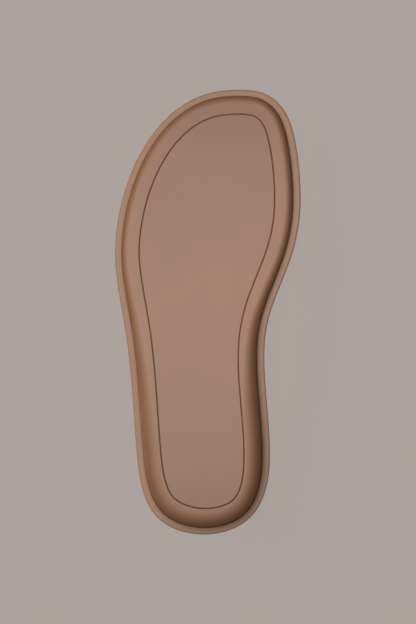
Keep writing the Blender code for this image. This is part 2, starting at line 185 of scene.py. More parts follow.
# %% Layer sizes and height formulas
CLEARANCE = 0.3
RIM_WIDTH, RIM_ARCH_MORE, RIM_TOE_LESS = 4.2, 0.35, 0.4
GROOVE_IN, GROOVE_ARCH_MORE, GROOVE_HEEL_MORE = 13.9, 0.5, 1.4
RIM_HEEL_TURN, GROOVE_HEEL_TURN = 0.7, 1.4
GROOVE_WIDTH = 0.6
PANEL_THICK = 2.6
WEDGE_HEEL, WEDGE_BALL, WEDGE_FROM, WEDGE_TO = 20.0, 8.0, 30.0, 165.0
TOE_LIFT, TOE_LIFT_FROM = 9.0, 165.0
HEEL_LIFT, HEEL_LIFT_TO = 2.0, 15.0
BED_THICK = 8.5


def smooth(share):
    """Smooth step from 0 to 1: three share squared less two share cubed."""
    share = np.clip(share, 0.0, 1.0)
    return share * share * (3.0 - 2.0 * share)


def tread(x):
    """Height of the tread: a parabola at the toe and a small one at the heel."""
    toe = TOE_LIFT * (np.maximum(x - TOE_LIFT_FROM, 0.0) / (LENGTH - TOE_LIFT_FROM))**2
    heel = HEEL_LIFT * (np.maximum(HEEL_LIFT_TO - x, 0.0) / HEEL_LIFT_TO)**2
    return toe + heel


def wedge(x):
    """Depth of the midsole: a smooth step from the heel's depth to the ball's."""
    share = smooth((x - WEDGE_FROM) / (WEDGE_TO - WEDGE_FROM))
    return WEDGE_HEEL + (WEDGE_BALL - WEDGE_HEEL) * share


def bed_bottom(x):
    """Underside of the footbed."""
    return tread(x) + wedge(x) + CLEARANCE


def bed_top(x):
    """Top of the footbed's rim."""
    return bed_bottom(x) + BED_THICK


def layer(inset, height, raised=0.0):
    """One ring: the outline moved inward by inset, at height(x) plus raised."""
    plan = OUTLINE - OUTWARD * np.broadcast_to(inset, len(OUTLINE))[:, None]
    return np.column_stack((plan, height(plan[:, 0]) + raised))


AHEAD, BEHIND = np.maximum(OUTWARD[:, 0], 0.0), np.maximum(-OUTWARD[:, 0], 0.0)
RIM = (RIM_WIDTH + (RIM_ARCH_MORE - RIM_HEEL_TURN * BEHIND) * OUTWARD[:, 1]
       - RIM_TOE_LESS * AHEAD**2)
GROOVE = (GROOVE_IN + (GROOVE_ARCH_MORE - GROOVE_HEEL_TURN * BEHIND) * OUTWARD[:, 1]
          + GROOVE_HEEL_MORE * BEHIND**2)
print("midsole depth at the heel, waist and ball, mm:", wedge(np.array((30, 100, 170))).round(1))

# %% [markdown]
# ## Making meshes from grids
# Every new surface is a grid of points, so a few helpers are enough. One turns the
# grid's numbers into quads. Another closes a stack of rings with a deck at each end,
# whose strips run straight across from side to side as slats would.

# %% Grid and loft helpers
DECK_COLUMNS = 20
SHARP_DEG = 40.0
# Painted shade for the light falling off towards the toe and the heel.
PAINTED_END_FALLOFF = 0.25


def numbered(grid):
    """The number of every point in a grid of points, row after row."""
    return np.arange(grid.shape[0] * grid.shape[1]).reshape(grid.shape[:2])


def grid_quads(index, round_rows=False, round_columns=False):
    """Quads between neighbours in a grid of numbers, whose rows or columns may close."""
    if round_rows:
        index = np.column_stack((index, index[:, :1]))
    if round_columns:
        index = np.vstack((index, index[:1]))
    return np.stack((index[:-1, :-1], index[:-1, 1:], index[1:, 1:], index[1:, :-1]),
                    axis=-1).reshape(-1, 4)


def deck(points, ring, first):
    """Inner points and faces that close one ring with strips from side to side."""
    half = len(ring) // 2
    left, right = np.arange(1, half), np.arange(len(ring) - 1, half, -1)
    share = (np.arange(1, DECK_COLUMNS) / DECK_COLUMNS)[None, :, None]
    inner = points[left][:, None] * (1.0 - share) + points[right][:, None] * share
    middle = first + numbered(inner)
    index = np.column_stack((ring[left], middle, ring[right]))
    tips = [[(ring[0], a, b) for a, b in zip(index[0, :-1], index[0, 1:])],
            [(ring[half], b, a) for a, b in zip(index[-1, :-1], index[-1, 1:])]]
    return inner.reshape(-1, 3), grid_quads(index).tolist() + tips[0] + tips[1]


def closed_loft(rings):
    """Points and faces of a body through equal rings, closed by two decks."""
    rings = np.asarray(rings)
    index = numbered(rings)
    points = [rings.reshape(-1, 3)]
    faces = grid_quads(index, round_rows=True).tolist()
    for end in (0, -1):
        first = sum(len(block) for block in points)
        inner, closing = deck(rings[end], index[end], first)
        points.append(inner)
        faces += closing
    return np.vstack(points), faces


def joined(parts):
    """One list of points and one of faces from several of both."""
    points, faces = [], []
    for more, quads in parts:
        first = sum(len(block) for block in points)
        points.append(more)
        faces += [tuple(first + number for number in face) for face in quads]
    return np.vstack(points), faces


def in_scene(name, data):
    """A new object of the scene for a mesh, a camera or a lamp."""
    made = bpy.data.objects.new(name, data)
    bpy.context.scene.collection.objects.link(made)
    return made


def add_mesh(name, points, faces, materials):
    """A smooth closed mesh from shoe points, with its faces turned outward."""
    mesh = bpy.data.meshes.new(name)
    mesh.from_pydata(to_world(points).tolist(), [], [tuple(map(int, face)) for face in faces])
    shell = bmesh.new()
    shell.from_mesh(mesh)
    bmesh.ops.recalc_face_normals(shell, faces=shell.faces[:])
    shell.to_mesh(mesh)
    shell.free()
    mesh.shade_smooth()
    mesh.set_sharp_from_angle(angle=math.radians(SHARP_DEG))
    for material in materials:
        mesh.materials.append(material)
    return in_scene(name, mesh)


def mark(piece, name, values):
    """A number on every point of a piece, which its material can read by name."""
    layer_of = piece.data.attributes.new(name, "FLOAT", "POINT")
    layer_of.data.foreach_set("value", np.asarray(values, np.float32))


def mark_rings(piece, name, values, everywhere=0.0):
    """A number on every ring of a sole layer, 0 on its decks, plus one for all points."""
    on_rings = np.reshape(values, (len(values), -1)) * np.ones(len(OUTLINE))
    on_piece = np.zeros(len(piece.data.vertices))
    on_piece[:on_rings.size] = on_rings.ravel()
    mark(piece, name, on_piece + everywhere)


def settle(piece, slot, *nodes):
    """Book a piece in: what it rides on and the solids it replaces. The slot is not used."""
    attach(piece, "root")
    if nodes:
        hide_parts(*nodes)
    print(piece.name + ":", len(piece.data.vertices), "points")


def painted_end_falloff(piece):
    """Painted shade: how much darker each point is made near the toe or the heel, where the light
    falls off: a parabola.
    """
    points = np.empty(len(piece.data.vertices) * 3)
    piece.data.vertices.foreach_get("co", points)
    x = (points.reshape(-1, 3) / MM @ TURN - SHIFT)[:, 0]
    return PAINTED_END_FALLOFF * ((x - LENGTH / 2.0) / (LENGTH / 2.0))**2


def full_turn(count):
    """Angles at even steps round a whole turn."""
    return np.arange(count) * 2.0 * np.pi / count


def signed_power(value, power):
    """The size of a number to a power, with the number's own sign."""
    return np.sign(value) * np.abs(value)**power


def corner(radius, steps):
    """Quarter round from (0, radius) to (radius, 0), as pairs of inset and rise."""
    turn = np.linspace(0.0, math.pi / 2.0, steps)
    return [(radius * (1.0 - math.cos(a)), radius * (1.0 - math.sin(a))) for a in turn]


# %% [markdown]
# ## Finishes
# Smooth pigmented leather and a matte rubber skin look alike from a step away: both
# are even in colour, with a faint cloudiness, and the light spreads wide on them.
# Close up they differ in grain. One recipe serves both: a slow noise for the clouds,
# cells for the grain as bump, and a second noise that breaks up the gloss.

# %% Leather and rubber recipe
def linear(colour):
    """An sRGB colour of 0 to 255 as linear light."""
    level = np.array(colour) / 255.0
    return np.where(level <= 0.04045, level / 12.92, ((level + 0.055) / 1.055)**2.4)


class Finish:
    """A node material, its shader and short ways to add what every finish needs."""

    def __init__(self, name):
        self.material = bpy.data.materials.new(name)
        self.material.use_nodes = True
        self.tree = self.material.node_tree
        self.shader = self.tree.nodes["Principled BSDF"]

    def node(self, kind, **settings):
        """A node with its own settings, or with the values of its sockets."""
        made = self.tree.nodes.new(kind)
        for key, value in settings.items():
            if hasattr(made, key):
                setattr(made, key, value)
            else:
                self.feed(made.inputs[key.replace("_", " ").title()], value)
        return made

    def feed(self, socket, value):
        """Give a socket a link from another node, a colour or a number."""
        if isinstance(value, bpy.types.NodeSocket):
            self.tree.links.new(value, socket)
        else:
            socket.default_value = (*value, 1.0) if isinstance(value, np.ndarray) else value

    def pattern(self, kind, place=None, **settings):
        """A node that reads the piece's own Object coordinates, or the given place."""
        place = place or self.node("ShaderNodeTexCoord").outputs["Object"]
        return self.node(kind, Vector=place, **settings)

    def noise(self, scale, detail, roughness=0.5, place=None):
        """The level of a noise pattern."""
        return self.pattern("ShaderNodeTexNoise", place, Scale=scale, Detail=detail,
                            Roughness=roughness).outputs["Fac"]

    def blend(self, factor, low, high):
        """A colour between two, by a factor."""
        return self.node("ShaderNodeMix", data_type="RGBA", Factor=factor, A=low,
                         B=high).outputs["Result"]

    def relief(self, height, strength, distance):
        """Bump the surface by a pattern's level."""
        bump = self.node("ShaderNodeBump", Strength=strength, Distance=distance, Height=height)
        self.wear(Normal=bump.outputs["Normal"])

    def wear(self, **values):
        """Feed sockets of the shader."""
        for key, value in values.items():
            self.feed(self.shader.inputs[key.replace("_", " ")], value)

    def uneven(self, level, low, high):
        """Roughness between two values, by a pattern's level."""
        span = self.node("ShaderNodeMapRange", To_Min=low, To_Max=high, Value=level)
        self.wear(Roughness=span.outputs["Result"])


CLOUD_SCALE, PEBBLE_SHARE, GRAIN_STRENGTH = 22.0, 0.35, 0.6


def skin(name, colour, deep, clouds=0.05, grain=0.0006, relief=0.00003, gloss=(0.52, 0.64),
         shine=0.25):
    """Leather or rubber: clouds in the colour, cell grain as bump, uneven gloss.

    The attribute for burnish and tint moves the colour from the first to the deep one: real
    burnish on leather edges and creases, painted shade and painted bounce light on the sole.
    The one called shade is painted shade and takes its share of the light away. Both are 0
    where unset.
    """
    made = Finish(name)
    cloud = made.noise(CLOUD_SCALE, detail=3.0, roughness=0.55)
    tone = made.blend(cloud, linear(colour) * (1.0 - clouds), linear(colour) * (1.0 + clouds))
    burnish_and_shade_tint, shade = (made.node("ShaderNodeAttribute", attribute_name=word).outputs["Fac"]
                      for word in ("burnish_and_shade_tint", "shade"))
    deeper = made.blend(burnish_and_shade_tint, tone, linear(deep))
    keep = made.node("ShaderNodeMath", operation="SUBTRACT")
    made.feed(keep.inputs[0], 1.0)
    made.feed(keep.inputs[1], shade)
    darken = made.node("ShaderNodeVectorMath", operation="SCALE", Scale=keep.outputs["Value"])
    made.feed(darken.inputs[0], deeper)
    made.wear(Base_Color=darken.outputs["Vector"], Specular_IOR_Level=shine)

    cells = made.pattern("ShaderNodeTexVoronoi", feature="SMOOTH_F1", Scale=1.0 / grain,
                         Smoothness=0.6)
    pebble = made.noise(PEBBLE_SHARE / grain, detail=4.0, roughness=0.6)
    height = made.node("ShaderNodeMath", operation="ADD")
    made.feed(height.inputs[0], cells.outputs["Distance"])
    made.feed(height.inputs[1], pebble)
    made.relief(height.outputs["Value"], GRAIN_STRENGTH, relief)
    made.uneven(pebble, *gloss)
    return made.material


# On the sole's walls, in its groove and in the rim's valley this deep colour is a painted tint of
# bounced light.
SOLE_TAN, WALL_TAN, SOLE_DEEP = (168, 133, 115), (174, 137, 118), (168, 119, 86)
tread_skin = skin("tread_rubber", SOLE_TAN, SOLE_DEEP, clouds=0.06, gloss=(0.52, 0.62), shine=0.2)
wall_skin = skin("midsole_skin", WALL_TAN, SOLE_DEEP, clouds=0.05, gloss=(0.55, 0.65), shine=0.07)
rim_skin = skin("rim_wrap", (173, 137, 115), SOLE_DEEP, clouds=0.04, shine=0.12)
sock_skin = skin("sock_calf", (184, 152, 130), (150, 112, 86), grain=0.0009, relief=0.00006)
upper_skin = skin("upper_calf", (158, 120, 98), (120, 82, 60), clouds=0.08,
                  grain=0.0011, relief=0.00016, gloss=(0.4, 0.54))
lining_skin = skin("lining_leather", (190, 160, 138), (160, 122, 96), grain=0.0007,
                   relief=0.00005, gloss=(0.6, 0.75))
edge_skin = skin("edge_paint", (112, 78, 58), (90, 60, 44), clouds=0.05, grain=0.002,
                 relief=0.00004, gloss=(0.32, 0.42))
print("skins:", ", ".join(m.name for m in bpy.data.materials if m.node_tree))

# %% [markdown]
# ## Tread panel
# The middle of the underside is a thin rubber panel, laid into the midsole. Its edge
# shows as one dark line round the sole. A line drawn on one surface would be flat, so
# the panel is its own body with rounded edges, a hair smaller than its recess. Painted
# shade and a browner tint darken the groove as well, less at the toe.

# %% Tread panel
TREAD_EDGE, EDGE_RINGS = 0.25, 6
PANEL_SIDE, PANEL_MARGIN = 0.3, 0.6
# Painted shade in the groove, less at the toe.
LINE_DARK, LINE_TOE_LESS = 0.38, 0.22
LINE_SHADE = LINE_DARK - LINE_TOE_LESS * AHEAD**2


def panel_rings():
    """Rings from the hidden back over the rounded edge to the tread."""
    edge = GROOVE + GROOVE_WIDTH
    rings = [layer(edge, tread, PANEL_THICK), layer(edge, tread, TREAD_EDGE + PANEL_SIDE)]
    rings += [layer(edge + inset, tread, rise) for inset, rise in corner(TREAD_EDGE, EDGE_RINGS)]
    rings.append(layer(edge + TREAD_EDGE + PANEL_MARGIN, tread))
    return rings


panel = add_mesh("tread_panel", *closed_loft(panel_rings()), [tread_skin])
# Painted shade and tint: full on the groove's side, fading over the edge's round.
line = np.append((1.0, 1.0), np.linspace(1.0, 0.0, EDGE_RINGS))[:, None]
mark_rings(panel, "burnish_and_shade_tint", line)
mark_rings(panel, "shade", LINE_SHADE * line, painted_end_falloff(panel))
settle(panel, "tread", "outsole")

# %% [markdown]
# ## Midsole
# The midsole is foam with a smooth skin. Beyond the panel it runs flat for a little,
# then turns over more and more steeply, and from its widest line it drops straight to
# the rim. The turn is about as wide as half the depth, so the waist and the ball keep
# a flat band and the heel has almost none. The skin is painted browner towards the rim,
# a painted tint of bounced light, and the corner itself is painted darker as painted
# shade, most at the arch and behind the heel.

# %% Midsole wall
WALL_STEPS = 24
WALL_SHARE_LATERAL, WALL_SHARE_MEDIAL = 0.47, 0.54
WALL_WIDEST, WALL_FLAT = 9.7, 0.15
WALL_SLOPE_DEG, WALL_TURN_POWER = 70.0, 1.7
GROOVE_DEEP, GROOVE_UNDER, GROOVE_WALL = 1.0, 0.1, 0.2
RIM_TUCK, RIM_TUCK_RISE = 0.02, 1.0
BROWN_REACH, CORNER_SPREAD = 1.25, 1.4
# Painted shade in the corner at the rim, more at the arch and behind the heel.
CORNER_DARK, CORNER_ARCH_MORE, CORNER_HEEL_MORE = 0.36, 0.16, 0.26
CORNER_SHADE = CORNER_DARK + CORNER_ARCH_MORE * OUTWARD[:, 1] + CORNER_HEEL_MORE * BEHIND**2


def wall_turn():
    """Fall of the turned wall at even steps outward, for a turn one unit wide.

    The slope's angle grows from 0 as 1 less a power of (1 less t), and the fall is the
    running sum of its tangent.
    """
    t = np.linspace(0.0, 1.0, WALL_STEPS)
    slope = np.tan(math.radians(WALL_SLOPE_DEG) * (1.0 - (1.0 - t)**WALL_TURN_POWER))
    return t, np.concatenate(([0.0], np.cumsum((slope[1:] + slope[:-1]) / 2.0))) / (WALL_STEPS - 1)


def wall_rings():
    """Rings from the recess, over its rounded lip and the turn, down to the rim."""
    recess = GROOVE + GROOVE_WIDTH - GROOVE_UNDER
    rings = [layer(recess, tread, PANEL_THICK + CLEARANCE), layer(recess, tread, GROOVE_DEEP),
             layer(GROOVE, tread, GROOVE_DEEP), layer(GROOVE, tread, TREAD_EDGE + GROOVE_WALL)]
    rings += [layer(GROOVE - inset, tread, rise) for inset, rise in corner(TREAD_EDGE, EDGE_RINGS)]
    depth = wedge((OUTLINE - OUTWARD * RIM[:, None])[:, 0])
    arch = (1.0 + OUTWARD[:, 1]) / 2.0
    share = WALL_SHARE_LATERAL + (WALL_SHARE_MEDIAL - WALL_SHARE_LATERAL) * arch
    room = np.minimum(WALL_WIDEST, GROOVE - TREAD_EDGE - RIM - WALL_FLAT)
    wide = np.minimum(share * depth, room)
    for t, fall in zip(*wall_turn()):
        rings.append(layer(RIM + wide * (1.0 - t), tread, wide * fall))
    rings += [layer(RIM - RIM_TUCK, tread, depth - RIM_TUCK_RISE),
              layer(RIM, tread, depth + CLEARANCE)]
    return rings


rings = wall_rings()
midsole = add_mesh("midsole_wall", *closed_loft(rings), [wall_skin])
wall_from = len(rings) - 2 - WALL_STEPS
# Painted shade darkens the groove line and the corner at the rim; the wall is tinted browner towards
# the rim as painted bounce light.
lip = np.linspace(1.0, 0.0, EDGE_RINGS)
groove_line = np.concatenate((np.ones(wall_from - EDGE_RINGS), lip, np.zeros(WALL_STEPS + 2)))
turned = np.clip((np.arange(len(rings)) - wall_from) / (WALL_STEPS - 1.0), 0.0, 1.0)
corner_line = np.exp(-((1.0 - turned) * (WALL_STEPS - 1.0) / CORNER_SPREAD)**2)
dark = LINE_SHADE * groove_line[:, None] + CORNER_SHADE * corner_line[:, None]
mark_rings(midsole, "burnish_and_shade_tint", np.maximum(groove_line, np.minimum(BROWN_REACH * turned, 1.0)))
mark_rings(midsole, "shade", dark, painted_end_falloff(midsole))
settle(midsole, "sole_foam", "midsole")

# %% [markdown]
# ## Footbed
# The footbed is a soft board wrapped in a thin cover. It stands out past the midsole
# and shows as a narrow rim right round the sole. The cover dips in a small valley
# where the midsole is pressed on, and the valley is painted darker and browner as
# painted shade of the corner. The edges are only lightly rounded below and softer
# above, where the cover is pulled over.

# %% Footbed with its rim
BED_LOWER_EDGE, BED_UPPER_EDGE, EDGE_STEPS = 1.3, 2.4, 8
EDGE_BROWN, BED_END_SHARE = 0.5, 0.4
BED_INNER = 9.0
SOCK_INSET, SOCK_RECESS, RECESS_LIP = 9.6, 3.0, 0.5
BED_VALLEY = (
    # inset past the wall, rise, painted shade
    (0.3, 0.0, 1.0), (-0.05, 0.3, 1.0), (-0.25, 0.25, 0.5), (-0.45, 0.06, 0.1), (-0.65, 0.0, 0.0),
)


def bed_rings():
    """Rings from the middle of the underside round the rim and into the recess."""
    rings = [layer(BED_INNER, bed_bottom)]
    rings += [layer(RIM + inset, bed_bottom, rise) for inset, rise, _ in BED_VALLEY]
    rings += [layer(inset, bed_bottom, rise) for rise, inset in corner(BED_LOWER_EDGE, EDGE_STEPS)]
    rings += [layer(inset, bed_top, -rise) for inset, rise in corner(BED_UPPER_EDGE, EDGE_STEPS)]
    rings.append(layer(SOCK_INSET - CLEARANCE - RECESS_LIP, bed_top))
    rings += [layer(SOCK_INSET - CLEARANCE, bed_top, -deep) for deep in (RECESS_LIP, SOCK_RECESS)]
    return rings


footbed = add_mesh("rim_board", *closed_loft(bed_rings()), [rim_skin])
# Painted shade in the valley beside the wall, and a share of the painted falloff at the toe and the
# heel.
valley = np.array([0.0] + [darkness for _, _, darkness in BED_VALLEY])
mark_rings(footbed, "shade", valley[:, None] * CORNER_SHADE, BED_END_SHARE * painted_end_falloff(footbed))
toward_edge = np.linspace(0.0, EDGE_BROWN, EDGE_STEPS)
mark_rings(footbed, "burnish_and_shade_tint", np.concatenate((valley, toward_edge, toward_edge[::-1])))
settle(footbed, "rim_cover", "footbed")

# %% [markdown]
# ## Sock
# The sock is the leather that the foot stands on. It sits in the footbed's recess,
# swells a hair above the rim, and is pressed down a little in the middle. A row of
# stitches close to its edge pulls a shallow trough, so the trough is part of the form
# and not only a painted line.

# %% Sock
SOCK_PROUD, SOCK_EDGE, SOCK_DISH, SOCK_DISH_END = 0.4, 1.0, 1.2, 11.0
SOCK_FACE, SOCK_STEP = 1.3, 0.35
SEAM_IN, SEAM_DIP, SEAM_SPREAD = 2.7, 0.28, 0.62
EDGE_ROWS = ((0.0, SEAM_IN), (1.0, -SEAM_IN))


def seam_dip(distance, row=SEAM_IN):
    """Depth of the trough under a stitch row: a bell curve about the row."""
    return SEAM_DIP * np.exp(-((distance - row) / SEAM_SPREAD)**2)


def sock_dish(inset):
    """How deep the foot has pressed the sock in, as a smooth step from its edge."""
    return SOCK_DISH * smooth((inset - SOCK_EDGE) / (SOCK_DISH_END - SOCK_EDGE))


def sock_rings():
    """Rings from the hidden underside over the rounded edge to the dished middle."""
    rings = [layer(SOCK_INSET, bed_top, CLEARANCE - SOCK_RECESS)]
    rings += [layer(SOCK_INSET + inset, bed_top, SOCK_PROUD - drop)
              for inset, drop in corner(SOCK_EDGE, EDGE_RINGS)]
    for inset in np.arange(SOCK_FACE, SOCK_DISH_END, SOCK_STEP):
        drop = sock_dish(inset) + seam_dip(inset)
        rings.append(layer(SOCK_INSET + inset, bed_top, SOCK_PROUD - drop))
    return rings


sock = add_mesh("sock", *closed_loft(sock_rings()), [sock_skin])
settle(sock, "sock_leather", "insole")

# %% [markdown]
# ## Walls of leather
# Each strap of the upper is a wall: an outer face, two rounded edges sealed with edge
# paint, and a lining. All of them are made the same way, by carrying one closed
# profile over a surface. Solidify could thicken a sheet, but a profile also gives the
# rounded edge, the trough beside the stitches and a material for each side.

# %% Profile of a leather wall
UPPER_WALL = 2.4
NEAR_EDGE = 5.0
NEAR_STEP = 0.32
EDGE_ROUND, LIP_STEPS = 0.8, 5
EDGE_BURNISH = 1.6
NARROWEST = 2.6
NORMAL_STEP = 0.0005
CURVE_SAMPLES = 4000


def half_profile(thick, middle_rows):
    """Rows from edge to edge as share across, offset in millimetres, and depth.

    The lips are quarter rounds. Beside them the rows keep their real spacing, with
    the trough of the stitches, and the rows between share what width is left.
    """
    lip = [(0.0, 0.0, thick / 2.0)]
    lip += [(0.0, inset, drop) for inset, drop in corner(EDGE_ROUND, LIP_STEPS)]
    beside = [(0.0, offset, float(seam_dip(offset)))
              for offset in np.arange(EDGE_ROUND + NEAR_STEP, NEAR_EDGE, NEAR_STEP)]
    start = lip + beside
    middle = [(share, NEAR_EDGE * (1.0 - 2.0 * share), 0.0)
              for share in np.linspace(0.0, 1.0, middle_rows)]
    end = [(1.0, -offset, drop) for _, offset, drop in reversed(start)]
    return np.array(start + middle + end), len(lip) - 1


def share_across(base, offset, width):
    """Share of the width, where offsets shrink on a strip too narrow for them."""
    fit = np.minimum(1.0, width / (NARROWEST * NEAR_EDGE))
    return base + offset * fit / width


def inward_of(surface, share, around):
    """Unit normals into the wall: the step across crossed with the step along."""
    across = surface(share + NORMAL_STEP) - surface(share - NORMAL_STEP)
    here = surface(share)
    if around:
        along = np.roll(here, -1, axis=1) - np.roll(here, 1, axis=1)
    else:
        along = np.gradient(here, axis=1)
    return unit(np.cross(across, along))


def wall(name, surface, width, thick, middle_rows, materials, around=False):
    """A wall of leather over a surface: face, painted edges and lining."""
    rows, lip = half_profile(thick, middle_rows)
    base, offset, depth = rows.T[:, :, None]
    share = share_across(base, offset, width)
    inward = inward_of(surface, share, around)
    face, deep = surface(share), depth[..., None]
    front, back = face + inward * deep, face + inward * (thick - deep)
    points = np.concatenate((front, back[-2:0:-1]))
    half, total = len(rows), len(points)
    index = numbered(points)
    faces = grid_quads(index, round_rows=around, round_columns=True)
    row_of = np.repeat(np.arange(total), len(faces) // total)
    inner = np.where(row_of < half - 1, row_of, total - 1 - row_of)
    painted = (inner < lip) | (inner >= half - 1 - lip)
    kind = np.where(painted, 1, np.where(row_of < half - 1, 0, 2)).tolist()
    faces = faces.tolist()
    if not around:
        mirror = np.concatenate(([0], np.arange(total - 1, half - 1, -1), [half - 1]))
        for column in (0, -1):
            rungs = [tuple(dict.fromkeys((index[i, column], index[i + 1, column],
                                          index[mirror[i + 1], column], index[mirror[i], column])))
                     for i in range(half - 1)]
            faces += rungs
            kind += [1] * len(rungs)
    piece = add_mesh(name, points.reshape(-1, 3), faces, materials)
    piece.data.polygons.foreach_set("material_index", np.array(kind, np.int32))
    reach = np.abs(offset) * np.ones_like(share)
    brown = np.exp(-(reach / EDGE_BURNISH)**2) * (np.abs(base - 0.5) == 0.5)
    mark(piece, "burnish_and_shade_tint", np.concatenate((brown, brown[-2:0:-1])).ravel())
    return piece


def length_along(points):
    """Distance of every point from the first, measured along the line."""
    steps = np.linalg.norm(np.diff(points, axis=0), axis=1)
    return np.concatenate(([0.0], np.cumsum(steps)))


def even_steps(curve, low, high, count):
    """Parameters at even distances along curve(parameter), and its whole length."""
    dense = np.linspace(low, high, CURVE_SAMPLES)
    along = length_along(curve(dense))
    return np.interp(np.linspace(0.0, along[-1], count), along, dense), along[-1]


# %% [markdown]
# ## Stitches
# Lockstitch thread does not lie as a line: every stitch is a short bead that dives
# into the leather at both ends. One bead is worked out as a small grid, and numpy
# sets a copy of it at every pitch along a seam, all in one mesh.

# %% Thread and stitch rows
STITCH_PITCH, STITCH_LENGTH, STITCH_THICK, STITCH_SINK = 3.1, 2.5, 0.52, 0.34
STITCH_PROUD, BEAD_TIP = 0.3, 0.04
BEAD_RINGS, BEAD_SIDES = 7, 6

thread = Finish("thread")
twist = thread.noise(scale=2600.0, detail=2.0)
strands = thread.blend(twist, linear((176, 140, 112)), linear((206, 174, 146)))
thread.wear(Base_Color=strands, Roughness=0.5, Sheen_Weight=0.3)
thread.relief(twist, strength=0.5, distance=0.00008)


def beads(path, outward, closed=False):
    """Points and faces of the stitches along one seam.

    A bead's ring at share t of its half length has the radius r times the square
    root of 1 less t to the fourth, and dives by the sink times t squared.
    """
    if closed:
        path, outward = np.vstack((path, path[:1])), np.vstack((outward, outward[:1]))
    along = length_along(path)
    count = max(int(round(along[-1] / STITCH_PITCH)), 2)
    centre = (np.arange(count) + 0.5) * along[-1] / count

    def sample(values, place):
        return np.column_stack([np.interp(place, along, column) for column in values.T])

    t = np.linspace(-1.0, 1.0, BEAD_RINGS)
    place = centre[:, None] + t * STITCH_LENGTH / 2.0
    core = sample(path, place.ravel()).reshape(count, BEAD_RINGS, 3)
    up = unit(sample(outward, place.ravel()).reshape(count, BEAD_RINGS, 3))
    side = unit(np.cross(up, np.gradient(core, axis=1)))
    radius = STITCH_THICK / 2.0 * np.sqrt(np.maximum(1.0 - t**4, BEAD_TIP))
    lift = STITCH_THICK * STITCH_PROUD - STITCH_SINK * t**2
    turn = full_turn(BEAD_SIDES)
    points = (core[:, :, None] + up[:, :, None] * lift[None, :, None, None]
              + radius[None, :, None, None] * (side[:, :, None] * np.cos(turn)[:, None]
                                               + up[:, :, None] * np.sin(turn)[:, None]))
    one = numbered(points[0])
    quads = grid_quads(one, round_rows=True)
    shift = (np.arange(count) * one.size)[:, None]
    faces = (quads[None] + shift[:, :, None]).reshape(-1, 4).tolist()
    ends = [(end[None] + shift).tolist() for end in (one[0], one[-1][::-1])]
    return points.reshape(-1, 3), faces + ends[0] + ends[1]


def stitch_rows(name, slot, seams):
    """One mesh of all the stitches of a piece, from its list of seams."""
    rows = joined(beads(*seam) for seam in seams)
    settle(add_mesh(name, *rows, [thread.material]), slot)


def seam_on(surface, width, base, offset, around, depth=0.0):
    """Path and outward normals of a row at an offset from one edge of a wall."""
    share = share_across(base, offset, width) * np.ones((1, len(width)))
    inward = inward_of(surface, share, around)[0]
    return surface(share)[0] + inward * depth, -inward


def both_faces(surface, width, base, offset, kept):
    """One row as it shows on the face and on the lining, for the kept columns."""
    for depth, way in ((SEAM_DIP, 1.0), (UPPER_WALL - SEAM_DIP, -1.0)):
        line, normal = seam_on(surface, width, base, offset, False, depth)
        yield line[kept], normal[kept] * way


sock_path = layer(SOCK_INSET + SEAM_IN, bed_top, SOCK_PROUD - sock_dish(SEAM_IN) - SEAM_DIP)
stitch_rows("sock_stitches", "sock_leather",
            [(sock_path, np.tile((0.0, 0.0, 1.0), (len(sock_path), 1)), True)])

# %% [markdown]
# ## Vamp band
# One broad band holds the ball of the foot. Seen from the toe it is an arch, flatter
# on top than a circle, and a superellipse draws that with a single power. It is lower
# at the toes than at the instep, and its feet go down into slots of the footbed.

# %% Vamp band
ROOT_DEPTH = 4.0
BAND_INSET = 4.5
BAND_REAR, BAND_REAR_SKEW, BAND_REAR_PEAK = 145.0, 5.0, 6.0
BAND_FRONT, BAND_FRONT_SKEW, BAND_FRONT_PEAK = 188.5, 3.5, -1.0
BAND_HEIGHT_REAR, BAND_HEIGHT_FRONT = 47.0, 36.0
BAND_MEDIAL_RISE = 0.10
ARCH_POWER = 2.35
BAND_COLUMNS, BAND_ROWS = 170, 28


def side_y(x, inset, side):
    """Sideways place of the outline moved inward, on the medial or lateral side."""
    plan = OUTLINE - OUTWARD * inset
    medial = plan[:FINE_STATIONS + 1]
    lateral = np.vstack((plan[:1], plan[:FINE_STATIONS - 1:-1]))
    chosen = medial if side > 0 else lateral
    return np.interp(x, chosen[:, 0], chosen[:, 1])


def band_at(share, angle, drop=0.0):
    """Points of the band: y from cos a and z from sin a, both to the power 2/n."""
    cosine, sine = np.cos(angle), np.maximum(np.sin(angle), 0.0)
    rear = BAND_REAR + BAND_REAR_SKEW * cosine + BAND_REAR_PEAK * sine
    front = BAND_FRONT + BAND_FRONT_SKEW * cosine + BAND_FRONT_PEAK * sine
    x = rear + (front - rear) * share
    medial, lateral = side_y(x, BAND_INSET, 1), side_y(x, BAND_INSET, -1)
    spread = signed_power(cosine, 2.0 / ARCH_POWER)
    y = (medial + lateral) / 2.0 + (medial - lateral) / 2.0 * spread
    rise = BAND_HEIGHT_REAR + (BAND_HEIGHT_FRONT - BAND_HEIGHT_REAR) * share
    z = bed_top(x) + rise * sine**(2.0 / ARCH_POWER) * (1.0 + BAND_MEDIAL_RISE * cosine)
    return np.stack((x, y, z - drop), axis=-1)


arch, arch_length = even_steps(lambda a: band_at(0.5, a), 0.0, np.pi, BAND_COLUMNS)
root = np.array((ROOT_DEPTH, ROOT_DEPTH / 2.0))
band_angle = np.concatenate((np.zeros(2), arch, np.full(2, np.pi)))
band_drop = np.concatenate((root, np.zeros(BAND_COLUMNS), root[::-1]))
band_width = np.linalg.norm(band_at(1.0, band_angle) - band_at(0.0, band_angle), axis=-1)


def band_surface(share):
    """The band's face on all its columns."""
    return band_at(share, band_angle, band_drop)


